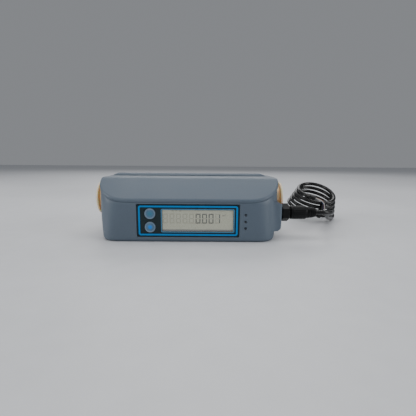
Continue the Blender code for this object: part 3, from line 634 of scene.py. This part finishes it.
def make_lid():
    """The top cover: a shell with a sloping front, four posts for the screws and a hatch."""
    rim = LIP - GAP
    rings = [lid_ring(WALL, WALL + 0.4), lid_ring(WALL, rim)]
    rings += [lid_ring(0.4, rim), lid_ring(0.12, rim - 0.1), lid_ring(0, rim - 0.35)]
    for k in range(9):
        a = pi / 2 * k / 8
        rings.append(lid_ring(LID_EDGE * (1 - cos(a)), LID_EDGE * (1 - sin(a))))
    lid = shell("lid", rings)
    for x, y in SCREW_PLACES:
        top = lid_height(y - 4) - 1.2
        carve(lid, lathe("lid_post", [(0, 10), (4, 10), (4, top), (0, top)], "Z", (x, y, 0), 40), "UNION")
        carve(lid, lathe("lid_post_hole", [(0, 5), (1.8, 5), (1.8, 24), (0, 24)], "Z", (x, y, 0), 24))
    carve(lid, box_piece("hatch", (-60.4, 60.4), (24, 37), (52, 67)))
    settle(lid, "housing", replaces=("top_cover",), smooth=30)


def make_rear_cover():
    """The raised service cover at the rear of the lid, with a rim that reaches into the hatch."""
    base, top = LID_TOP + GAP, LID_TOP + 2.7
    centre, half = Vector((-2.25, 30.5)), Vector((90.25, 9.5))
    rings = []
    for z, in_x, in_y in ((base, 0.25, 0.25), (base + 0.25, 0.0, 0.0), (top - 0.4, 4.2, 1.9),
                          (top - 0.15, 4.7, 2.3), (top - 0.03, 5.1, 2.65), (top, 5.6, 3.1)):
        size = (2 * (half.x - in_x), 2 * (half.y - in_y))
        rings.append([Vector((p.x, p.y, z)) for p in rounded_rectangle(centre, size, 1.6)])
    cover = loft("service_cover", rings)
    carve(cover, box_piece("hatch_rim", (-60, 60), (24.4, 36.6), (LID_TOP - 3.4, base + 1)), "UNION")
    settle(cover, "housing", replaces=("rear_cover",), smooth=25)


def make_cover_screws():
    """Pan-head screws deep in the base, each with a cross recess."""
    profile = [(0, 2.4), (2.2, 2.4), (2.9, 2.6), (3.2, 3.1), (3.2, 4.7), (1.5, 4.7), (1.5, 21.4),
               (1.2, 21.7), (0, 21.7)]
    for number, (x, y) in enumerate(SCREW_PLACES, 1):
        screw = lathe(f"base_screw_{number}", profile, "Z", (x, y, 0), 48)
        for w, d in ((1.9, 0.5), (0.5, 1.9)):
            carve(screw, box_piece("slot", (x - w, x + w), (y - d, y + d), (1.5, 3.9)))
        settle(screw, "steel", replaces=(f"cover_screw_{number}",))


# ---------------------------------------------------------------- display and keys

RECESS_CENTRE, RECESS_SIZE, RECESS_DEPTH = (0.4, 21.5), (101.6, 33.0), 1.6
WINDOW_CENTRE, WINDOW_SIZE = (9.95, 21.5), (70.6, 21.9)
KEY_X, KEY_Z = -37.1, {"upper": 28.4, "lower": 14.9}
LENS_X, LENS_Z = 57.0, (27.5, 20.7, 14.1)
OVERLAY_FRONT, OVERLAY_BACK = -45.5, -44.7
LCD_FRONT, LCD_STEP, LCD_BACK = -44.5, -42.6, -40.8
PRINT = 0.03
FILM_GAP = 0.6

DIGIT_FIRST_X, DIGIT_PITCH, DIGIT_Z = -22.0, 6.43, 23.6
DIGIT_W, DIGIT_H, STROKE = 4.9, 9.9, 1.15
DIGIT_COUNT, FIRST_LIT, READING = 9, 5, "0001"
LIT_SEGMENTS = {"0": "abcdef", "1": "bc"}


def print_band(name, outer, inner, finish):
    """A printed band between two outlines on the front film."""
    print_shapes(name, [(outer, inner)], OVERLAY_FRONT - PRINT, 2 * PRINT, finish)


def make_overlay():
    """The dark front film with its blue frame, and the window's pane with a pale border."""
    outline = rounded_rectangle(RECESS_CENTRE, (RECESS_SIZE[0] - FILM_GAP, RECESS_SIZE[1] - FILM_GAP), 1.1)
    overlay = plate("label_film", outline, OVERLAY_FRONT, OVERLAY_BACK, edge=0.15)
    hole = rounded_rectangle(WINDOW_CENTRE, (WINDOW_SIZE[0] + 0.16, WINDOW_SIZE[1] + 0.16), 0.9)
    carve(overlay, cutter_plate("window_cut", hole, OVERLAY_FRONT, OVERLAY_BACK + 2, 0.0))
    for z in KEY_Z.values():
        carve(overlay, front_hole("key_cut", KEY_X, z, 5.5, 72))
    settle(overlay, "overlay", replaces=("display_overlay",))
    frame_outer = rounded_rectangle(RECESS_CENTRE, (97.8, 29.9), 2.2, 8)
    frame_inner = rounded_rectangle(RECESS_CENTRE, (94.5, 26.6), 0.9, 8)
    print_band("blue_frame", frame_outer, frame_inner, "blue_print")
    border_outer = rounded_rectangle(WINDOW_CENTRE, (WINDOW_SIZE[0] + 1.7, WINDOW_SIZE[1] + 1.7), 1.4, 8)
    border_inner = rounded_rectangle(WINDOW_CENTRE, (WINDOW_SIZE[0] + 0.2, WINDOW_SIZE[1] + 0.2), 0.9, 8)
    print_band("window_border", border_outer, border_inner, "pale_print")
    pane = rounded_rectangle(WINDOW_CENTRE, WINDOW_SIZE, 0.8)
    settle(plate("window_pane", pane, OVERLAY_FRONT, OVERLAY_BACK, edge=0.15), "window",
           replaces=("display_window",))


def digit_segments(cx, cz):
    """The seven bars of one digit by their usual letters."""
    w, h, half = DIGIT_W / 2, DIGIT_H / 2, STROKE / 2
    slit = 0.12

    def across(z, shorten_top, shorten_bottom):
        """A level bar; each edge may be shorter by a stroke at both ends."""
        left, right = cx - w + slit, cx + w - slit
        return [Vector((left + STROKE * shorten_bottom, z - half)),
                Vector((right - STROKE * shorten_bottom, z - half)),
                Vector((right - STROKE * shorten_top, z + half)),
                Vector((left + STROKE * shorten_top, z + half))]

    def upright(side, low, high):
        """An upright bar; each end has its outer and its inner height."""
        outer, inner = cx + side * w, cx + side * (w - STROKE)
        return [Vector((outer, low[0])), Vector((outer, high[0])),
                Vector((inner, high[1])), Vector((inner, low[1]))]

    upper = ((cz + slit, cz + slit + half), (cz + h - slit, cz + h - slit - STROKE))
    lower = ((cz - h + slit, cz - h + slit + STROKE), (cz - slit, cz - slit - half))
    tip, shoulder = w - STROKE * 0.6, w - STROKE * 1.1
    bar = [Vector((cx - tip, cz)), Vector((cx - shoulder, cz - half)), Vector((cx + shoulder, cz - half)),
           Vector((cx + tip, cz)), Vector((cx + shoulder, cz + half)), Vector((cx - shoulder, cz + half))]
    return {
        "a": across(cz + h - half, 0, 1), "d": across(cz - h + half, 1, 0), "g": bar,
        "f": upright(-1, *upper), "b": upright(1, *upper), "e": upright(-1, *lower), "c": upright(1, *lower),
    }


def make_lcd():
    """The display's glass with its lit and unlit bars, and the unit beside them."""
    x, z = WINDOW_CENTRE
    front = rounded_rectangle((x, z), (WINDOW_SIZE[0] - 1.0, WINDOW_SIZE[1] - 1.0), 0.4)
    back = rounded_rectangle((x, z), (76, 27), 0.4)
    glass = plate("lcd_glass", front, LCD_FRONT, LCD_STEP + 0.5)
    carve(glass, plate("lcd_back_glass", back, LCD_STEP, LCD_BACK), "UNION")
    settle(glass, "lcd", replaces=("lcd_panel",))
    on, off = [], []
    for place in range(DIGIT_COUNT):
        lit = LIT_SEGMENTS[READING[place - FIRST_LIT]] if place >= FIRST_LIT else ""
        for letter, outline in digit_segments(DIGIT_FIRST_X + DIGIT_PITCH * place, DIGIT_Z).items():
            (on if letter in lit else off).append(outline)
    point_z = DIGIT_Z - DIGIT_H / 2 + 0.45
    for place in range(3, 8):
        dot = rounded_rectangle((DIGIT_FIRST_X + DIGIT_PITCH * (place + 0.5), point_z), (0.8, 0.8), 0.25, 3)
        (on if place == FIRST_LIT else off).append(dot)
    for place, width in ((0, 3.0), (1, 2.2), (2, 2.2)):
        mark = rounded_rectangle((-14.4 + 3.4 * place, 31.2), (width, 1.3), 0.3, 3)
        off.append(mark)
    print_shapes("lcd_bars_on", on, LCD_FRONT - PRINT, 2 * PRINT, "segment")
    print_shapes("lcd_bars_off", off, LCD_FRONT - PRINT, 2 * PRINT, "ghost")
    # A dark strip printed along the glass's lower edge: the holder's grey lip, with painted shade from the
    # window's edge.
    strip = rounded_rectangle((x, z - WINDOW_SIZE[1] / 2 + 1.3), (WINDOW_SIZE[0] - 1.1, 1.5), 0.2, 3)
    print_shapes("lcd_lip_shade_strip", [strip], LCD_FRONT - 3 * PRINT, 4 * PRINT, "lcd_lip_painted_shade")
    make_unit()


UNIT_PLACE, UNIT_SIZE = (34.0, LCD_FRONT, 25.9), 3.4


def make_unit():
    """The cubic metre beside the digits."""
    text = bpy.data.curves.new("unit", "FONT")
    text.body = "m\u00b3"
    text.size = UNIT_SIZE * MM
    text.extrude = PRINT * MM
    guide = bpy.data.objects.new("unit", text)
    bpy.context.scene.collection.objects.link(guide)
    graph = bpy.context.evaluated_depsgraph_get()
    mesh = bpy.data.meshes.new_from_object(guide.evaluated_get(graph))
    bpy.data.objects.remove(guide, do_unlink=True)
    mesh.transform(Matrix.Translation(Vector(UNIT_PLACE) * MM) @ Matrix.Rotation(pi / 2, 4, "X"))
    obj = bpy.data.objects.new("lcd_unit", mesh)
    bpy.context.scene.collection.objects.link(obj)
    settle(obj, "segment")


def make_keys():
    """Each key is a cap with a raised rim, a darker face and a round mark; the cap's paler tone is partly
    its own and partly a painted highlight on the rim.
    """
    profile = [(0, -45.45), (4.15, -45.45), (4.3, -45.6), (4.45, -45.76), (4.65, -45.8), (4.95, -45.8),
               (5.15, -45.72), (5.25, -45.5), (5.25, -42.6), (6.4, -42.6), (6.4, -41.6), (1.5, -41.6),
               (1.5, -39.0), (0, -39.0)]
    disc = [(0, -45.50), (4.05, -45.50), (4.12, -45.46), (4.12, -45.3), (0, -45.3)]
    mark = [(0, -45.55), (1.8, -45.55), (1.88, -45.52), (1.88, -45.4), (0, -45.4)]
    ring = [(2.35, -45.54), (2.65, -45.54), (2.65, -45.4), (2.35, -45.4)]
    for side, z in KEY_Z.items():
        body = "key_" + side
        place = (KEY_X, 0, z)
        settle(lathe("cap_" + side, profile, "Y", place, 96), "key_rim_painted_highlight", body, (body,))
        settle(lathe("face_" + side, disc, "Y", place, 96), "key_face", body)
        finish = "key_teal" if side == "upper" else "key_blue"
        settle(lathe("mark_" + side, mark, "Y", place, 64), finish, body)
        if side == "upper":
            settle(lathe("mark_ring", ring, "Y", place, 64, closed=True), "key_teal", body)


def make_lenses():
    """Small smoked lenses with a collar behind the front wall."""
    profile = [(0, -45.95), (0.5, -45.92), (0.85, -45.8), (1.0, -45.6), (1.0, -42.5), (2.0, -42.5),
               (2.0, -41.5), (0, -41.5)]
    for number, z in enumerate(LENS_Z, 1):
        settle(lathe(f"lens_{number}", profile, "Y", (LENS_X, 0, z), 40), "lens",
               replaces=(f"status_lens_{number}",))


# ---------------------------------------------------------------- flow tube and caps

TUBE_HALF, TUBE_STEP, TUBE_BORE, TUBE_MOUTH = 99.2, 85.0, 10.0, 12.1
CAP_FACE, CAP_RADIUS = 101.7, 18.25
SEAT_XS = (-35.0, 35.0)
ENDS = {"left": "-X", "right": "X"}


def make_tube():
    """The brass tube with wider ends and two side seats for the transducers, and its end seals."""
    outside = [(13.5, 0), (13.5, TUBE_STEP - 1.5), (15.0, TUBE_STEP), (15.0, TUBE_HALF - 0.7),
               (14.8, TUBE_HALF - 0.2), (14.4, TUBE_HALF), (12.7, TUBE_HALF), (12.3, TUBE_HALF - 0.15),
               (TUBE_MOUTH, TUBE_HALF - 0.5), (TUBE_MOUTH, TUBE_HALF - 14), (TUBE_BORE, TUBE_HALF - 16),
               (TUBE_BORE, 0)]
    mirrored = [(r, -h) for r, h in reversed(outside)]
    profile = outside[:-1] + mirrored[1:-1]
    place = (0, TUBE_Y, TUBE_Z)
    tube = lathe("meter_tube", profile, "X", place, 144, closed=True)
    seat = [(0, -13.0), (10.2, -13.0), (10.5, -12.7), (10.5, 0), (0, 0)]
    for x in SEAT_XS:
        carve(tube, lathe("seat", seat, "Y", (x, 0, TUBE_Z), 64), "UNION")
    bore = [(0, -80.5), (TUBE_BORE, -80.5), (TUBE_BORE, 80.5), (0, 80.5)]
    carve(tube, lathe("bore", bore, "X", place, 144))
    seat_bore = [(0, -15.0), (7.4, -15.0), (7.4, 5.0), (0, 5.0)]
    for x in SEAT_XS:
        carve(tube, lathe("seat_bore", seat_bore, "Y", (x, 0, TUBE_Z), 56))
    settle(tube, "brass", replaces=("flow_tube",), smooth=30)
    seal = [(15.3, 90.3), (17.0, 90.3), (17.0, 93.5), (16.7, 93.9), (15.6, 93.9), (15.3, 93.6)]
    for side, axis in ENDS.items():
        settle(lathe("tube_seal_" + side, seal, axis, place, 96, closed=True), "rubber",
               replaces=("port_seal_" + side,))


def make_caps():
    """Push-in caps with a rolled rim and a shallow dish."""
    inner = TUBE_HALF + GAP
    outline = rounded([(0, 100.9), (12.4, 100.9, 0.8), (13.6, CAP_FACE, 0.6), (CAP_RADIUS, CAP_FACE, 1.0),
                       (CAP_RADIUS, inner, 0.5), (11.8, inner, 0.3), (11.6, 88.5, 0.5), (10.3, 88.5, 0.3),
                       (10.3, 99.2, 0.8), (0, 99.2)], 0, 5, closed=False)
    profile = [(p.x, p.y) for p in outline]
    for side, axis in ENDS.items():
        cap = lathe("cap_" + side, profile, axis, (0, TUBE_Y, TUBE_Z), 128)
        settle(cap, "ivory", "port_cap_" + side, ("port_cap_" + side,), smooth=30)


# ---------------------------------------------------------------- sensor connector

THREAD_START, THREAD_TURNS, THREAD_ROOT, THREAD_CREST = 104.0, 8, 5.6, 6.0
NUT_FLATS, NUT_CORNER = 16.5, 9.52
KNURL_COUNT, KNURL_DEPTH, KNURL_SPAN = 24, 0.32, (108.4, 121.4)
GRIP_RADIUS = 7.1
PLUG_END = 133.0


def hexagon(angle, radius, height):
    """The nut's radius: level flats where it is wide, and round where it is chamfered."""
    within = (angle + pi / 6) % (pi / 3) - pi / 6
    return min(radius, NUT_FLATS / 2 / cos(within)) if radius > NUT_FLATS / 2 - 0.6 else radius


def knurl(angle, radius, height):
    """The ring nut's radius: shallow grooves along its grip."""
    on_grip = KNURL_SPAN[0] < height < KNURL_SPAN[1] and radius > GRIP_RADIUS - 0.05
    return radius - KNURL_DEPTH * (0.5 - 0.5 * cos(KNURL_COUNT * angle)) ** 2 if on_grip else radius


def connector_piece(name, profile, node, segments, shape=None, closed=False, body="root", smooth=32.0):
    """One turned piece of black plastic on the connector's line."""
    piece = lathe(name, profile, "X", (0, PLUG_Y, PLUG_Z), segments, shape, closed)
    settle(piece, "connector", body, (node,), smooth)


def make_connector():
    """The threaded socket with its hexagonal nut and seal, and the plug with its ring nut and ribs."""
    socket = [(0, 84.5), (5.8, 84.5), (5.8, 89.7), (7.6, 89.7), (7.6, 91.9), (THREAD_CREST, 91.9),
              (THREAD_CREST, THREAD_START)]
    for k in range(THREAD_TURNS):
        x = THREAD_START + k
        socket += [(THREAD_ROOT, x + 0.35), (THREAD_ROOT, x + 0.5), (THREAD_CREST, x + 0.85),
                   (THREAD_CREST, x + 1.0)]
    socket += [(5.8, 112.2), (4.7, 112.2), (4.7, 104.6), (0, 104.6)]
    connector_piece("panel_socket", socket, "panel_connector", 96)
    nut = [(6.3, 96.4), (8.1, 96.4), (NUT_CORNER, 97.1), (NUT_CORNER, 103.3), (8.1, 104.0), (6.9, 104.0),
           (6.3, 103.4)]
    connector_piece("hex_nut", nut, "connector_nut", 192, hexagon, closed=True, smooth=18)
    washer = [(6.3, 95.5), (7.7, 95.5), (7.9, 95.65), (7.9, 95.95), (7.7, 96.1), (6.3, 96.1)]
    settle(lathe("seal_ring", washer, "X", (0, PLUG_Y, PLUG_Z), 96, closed=True), "rubber",
           replaces=("connector_seal",))
    grip = [(6.35, 106.2), (6.75, 106.2), (7.0, 106.4), (GRIP_RADIUS, 106.75), (GRIP_RADIUS, 107.6),
            (6.8, 107.9), (6.8, 108.2), (GRIP_RADIUS, 108.5), (GRIP_RADIUS, 121.3), (6.8, 121.7),
            (6.6, 122.7), (6.3, 123.0), (4.95, 123.0), (4.95, 114.6), (6.35, 114.6)]
    connector_piece("ring_nut", grip, "coupling_nut", 288, knurl, closed=True, body="coupling_nut",
                    smooth=30)
    plug = [(0, 104.9), (4.3, 104.9), (4.3, 112.6), (5.9, 112.6), (5.9, 114.2), (4.6, 114.2), (4.6, 123.4),
            (5.8, 123.4), (6.1, 123.7), (6.1, 125.4), (5.9, 125.7), (5.3, 125.7), (5.3, 126.3),
            (5.85, 126.3), (5.8, 127.5), (5.1, 127.5), (5.1, 128.1), (5.6, 128.1), (5.5, 129.3),
            (4.8, 129.3), (4.8, 129.9), (5.2, 129.9), (5.05, 131.1), (4.4, 131.1), (4.35, 131.7),
            (4.7, 131.7), (4.5, PLUG_END - 0.4), (4.1, PLUG_END), (0, PLUG_END)]
    connector_piece("plug", plug, "plug_body", 160)


# ---------------------------------------------------------------- sensor cable

CABLE_RADIUS = 2.35
LEAD_ROUTE = (
    (133.3, -24.0, 27.0), (135.4, -24.0, 27.0), (137.5, -24.0, 27.0), (144.0, -22.9, 26.8),
    (149.8, -19.6, 26.2), (154.0, -14.6, 25.2), (156.8, -8.0, 23.9), (159.4, 2.5, 21.2),
    (162.2, 13.6, 18.0), (165.8, 24.9, 14.4), (170.4, 36.3, 10.8), (176.4, 47.8, 7.2), (183.8, 59.2, 4.3),
)
TAIL_ROUTE = ((156.8, 53.2, 33.8), (159.8, 48.8, 32.0))
COIL_CENTRE = Vector((167.2, 80.5, 26.6))
COIL_AXIS = Vector((0.12, -0.34, 0.90)).normalized()
COIL_SIDE = (Vector((1, 0, 0)) - COIL_AXIS * COIL_AXIS.x).normalized()
COIL_BACK = COIL_AXIS.cross(COIL_SIDE)
COIL_RADIUS, COIL_SPAN, COIL_TAPER, COIL_EGG = 26.5, 27.6, 0.42, 0.08
COIL_PITCH, COIL_FAN = 5.15, 1.38
COIL_FIRST, COIL_LAST, COIL_STEP = -36.0, 1675.0, 12
CORE_RADIUS, CORE_SPREAD, STRAND_RADIUS = 0.62, 0.8, 0.36
CORE_PLACES = {"brown": (-1, 1), "white": (1, 1), "blue": (-1, -1), "grey": (1, -1)}
CORE_TIPS = {"brown": (168.6, 42.4, 19.4), "white": (169.5, 42.6, 18.0),
             "blue": (168.9, 43.6, 18.8), "grey": (169.9, 43.4, 20.0)}
TIE_ANGLE = -85.0
TIE_PASSES = (1, 2, 3, 4)
TIE_GAP, TIE_THICKNESS, TIE_HALF_WIDTH = 0.12, 1.1, 1.7


def coil_point(degree):
    """A point on the tied coil at an angle counted on from turn to turn. Each turn is an egg with its blunt
    end on the right, where the turns spread out, and the lower turns reach further to the left."""
    angle = radians(degree)
    level = (degree - (COIL_FIRST + COIL_LAST) / 2) / 360 * COIL_PITCH
    fan = 1 + (COIL_FAN - 1) * (1 + cos(angle)) / 2
    return (COIL_CENTRE + COIL_AXIS * level * fan + COIL_SIDE * (COIL_SPAN - COIL_TAPER * level) * cos(angle)
            + COIL_BACK * COIL_RADIUS * sin(angle) * (1 + COIL_EGG * cos(angle)))


def make_cable():
    """One cord from the plug through the coil to its bared end. Returns it and its length."""
    count = int((COIL_LAST - COIL_FIRST) / COIL_STEP) + 1
    coil = [coil_point(COIL_FIRST + COIL_STEP * k) for k in range(count)]
    points = smooth_route([*LEAD_ROUTE, *coil, *TAIL_ROUTE], 1.6)
    length = sum((b - a).length for a, b in zip(points, points[1:]))
    cable = cord_curve("sensor_cable", points, CABLE_RADIUS, "jacket",
                       replaces=("cable", "cable_coil"), sides=10)
    make_cores(points)
    return cable, length


def make_cores(points):
    """The four bared conductors that hang from the cable's end."""
    end = points[-1]
    along = (points[-1] - points[-3]).normalized()
    across = along.cross(Vector((0, 0, 1))).normalized()
    upward = across.cross(along)
    for number, (colour, (right, up)) in enumerate(CORE_PLACES.items()):
        near = (across * right + upward * up) * CORE_SPREAD
        tip = Vector(CORE_TIPS[colour])
        bend = (end + along * 7 + near).lerp(tip + Vector((0, 0, 9)), 0.6)
        route = smooth_route([end - along * 2 + near, end + along * 1.5 + near, bend, tip], 0.7)
        cord_curve("core_" + colour, route, CORE_RADIUS, "core_" + colour,
                   replaces=("flying_leads",) if number == 0 else (), sides=6)
        heading = (tip - route[-2]).normalized()
        strand = [tip - heading * 0.5, tip + heading * 2.2]
        cord_curve("core_end_" + colour, strand, STRAND_RADIUS, "tinned", sides=5)


def make_tie():
    """A nylon strap round the coil's section."""
    passes = [coil_point(TIE_ANGLE + 360 * k) for k in TIE_PASSES]
    along = (coil_point(TIE_ANGLE + 361 + 360) - coil_point(TIE_ANGLE + 359 + 360)).normalized()
    upward = (passes[-1] - passes[0]).normalized()
    outward = along.cross(upward).normalized()
    centre = (passes[0] + passes[-1]) / 2
    half_h = (passes[-1] - passes[0]).length / 2 + CABLE_RADIUS

    def loop(grow, offset_along):
        """The strap's outline round the turns, moved along them."""
        size = (2 * (CABLE_RADIUS + grow), 2 * (half_h + grow))
        return [centre + outward * p.x + upward * p.y + along * offset_along
                for p in rounded_rectangle((0, 0), size, CABLE_RADIUS + grow - 0.05, 8)]

    section = ((TIE_GAP, -TIE_HALF_WIDTH), (TIE_THICKNESS - 0.1, -TIE_HALF_WIDTH),
               (TIE_THICKNESS, 0.2 - TIE_HALF_WIDTH), (TIE_THICKNESS, TIE_HALF_WIDTH - 0.2),
               (TIE_THICKNESS - 0.1, TIE_HALF_WIDTH), (TIE_GAP, TIE_HALF_WIDTH))
    bm = bmesh.new()
    made = [[bm.verts.new(p) for p in loop(grow, shift)] for grow, shift in section]
    count = len(made[0])
    for lower, upper in zip(made, made[1:] + made[:1]):
        for k in range(count):
            n = (k + 1) % count
            bm.faces.new((lower[k], lower[n], upper[n], upper[k]))
    settle(mesh_object("cable_strap", bm), "black", replaces=("cable_tie",), smooth=40)


# ---------------------------------------------------------------- nodes kept from the frame

KEPT = {
    "lcd_holder": "black", "main_board": "board", "processor_chip": "black", "tact_switch_upper": "black",
    "tact_switch_lower": "black", "transducer_left": "black", "transducer_right": "black",
    "transducer_lead_left": "wire", "transducer_lead_right": "wire", "tube_saddle_left": "black",
    "tube_saddle_right": "black", "tube_clamp_left": "black", "tube_clamp_right": "black",
    "battery_cell": "battery", "battery_holder": "black", "battery_lead": "wire", "cover_gasket": "rubber",
    "connector_lead": "jacket",
}


def finish_kept_nodes():
    """Give each node of the frame its finish. Those that no piece replaces stay in view."""
    for node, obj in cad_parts.items():
        finish = "steel" if "screw" in node else KEPT.get(node, "black")
        obj.data.materials.clear()
        obj.data.materials.append(MATERIALS[finish])


# ---------------------------------------------------------------- run

make_camera()
MATERIALS = make_materials()
make_stage()
cable, cable_length = make_cable()
make_tie()
finish_kept_nodes()
make_tub()
make_lid()
make_rear_cover()
make_cover_screws()
make_overlay()
make_lcd()
make_keys()
make_lenses()
make_tube()
make_caps()
make_connector()
